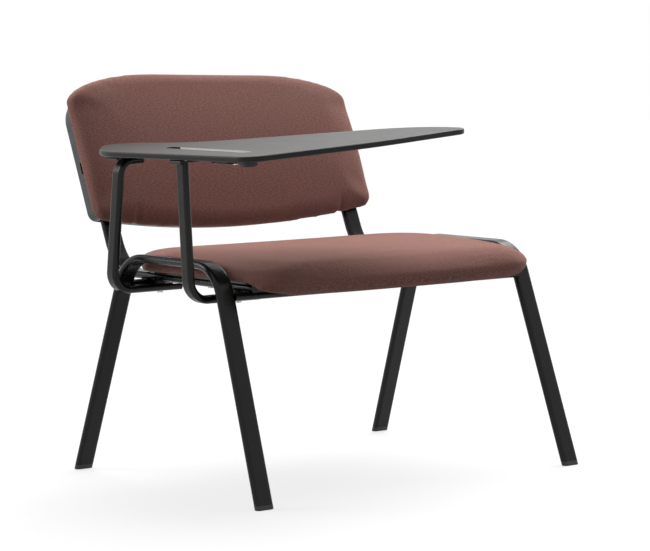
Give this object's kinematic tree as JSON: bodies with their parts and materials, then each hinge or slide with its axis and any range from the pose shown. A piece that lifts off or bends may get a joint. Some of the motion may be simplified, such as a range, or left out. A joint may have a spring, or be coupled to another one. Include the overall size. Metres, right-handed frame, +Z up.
{
  "type": "tablet arm chair",
  "caption": "Steel-tube chair with an upholstered seat and back and a folding writing tablet carried on posts at the sitter's right.",
  "frame": {"origin": "on the floor, midway between the feet", "axes": "+Z up, the chair faces -Y, the tablet is on the -X side (the sitter's right)"},
  "size_m": [0.872, 0.7764, 0.7893],
  "materials": {
    "frame_black": "satin powder coat",
    "plug_black": "matte",
    "seat_cloth": "woven upholstery cloth",
    "board_black": "stained black",
    "fastener_steel": "zinc plated",
    "hinge_black": "satin",
    "rubber_black": "matte",
    "shell_black": "moulded",
    "tablet_grey": "satin moulded"
  },
  "bodies": {
    "chair": {"right_side_frame": "frame_black", "left_side_frame": "frame_black", "front_cross_tube": "frame_black", "rear_cross_tube": "frame_black", "right_seat_rail": "frame_black", "left_seat_rail": "frame_black", "rear_arm_post": "frame_black", "front_arm_post": "frame_black", "front_right_foot": "plug_black", "rear_right_foot": "plug_black", "front_left_foot": "plug_black", "rear_left_foot": "plug_black", "right_rail_plug": "plug_black", "left_rail_plug": "plug_black", "rear_post_plug": "plug_black", "front_post_plug": "plug_black", "rear_post_top_plug": "plug_black", "seat_cushion": "seat_cloth", "back_cushion": "seat_cloth", "seat_board": "board_black", "back_board": "board_black", "seat_bolts": "fastener_steel", "seat_inserts": "fastener_steel", "back_bolts": "fastener_steel", "back_inserts": "fastener_steel", "shell_screws": "fastener_steel", "post_bolts": "fastener_steel", "post_spacers": "fastener_steel", "rear_hinge_plate": "hinge_black", "front_hinge_plate": "hinge_black", "rear_hinge_pin": "hinge_black", "front_hinge_pin": "hinge_black", "rear_tablet_rest": "rubber_black", "front_tablet_rest": "rubber_black", "back_shell": "shell_black"},
    "tablet": {"tablet": "tablet_grey", "tablet_stay": "hinge_black", "tablet_buffer": "rubber_black", "rear_hinge_leaf": "hinge_black", "front_hinge_leaf": "hinge_black", "leaf_screws": "fastener_steel", "stay_screws": "fastener_steel"}
  },
  "joints": [
    {"name": "tablet_fold", "type": "hinge", "parent": "chair", "child": "tablet", "pos_m": [-0.44066, 0, 0.63761], "axis": [0, -1, 0], "range_deg": [0, 110]}
  ]
}
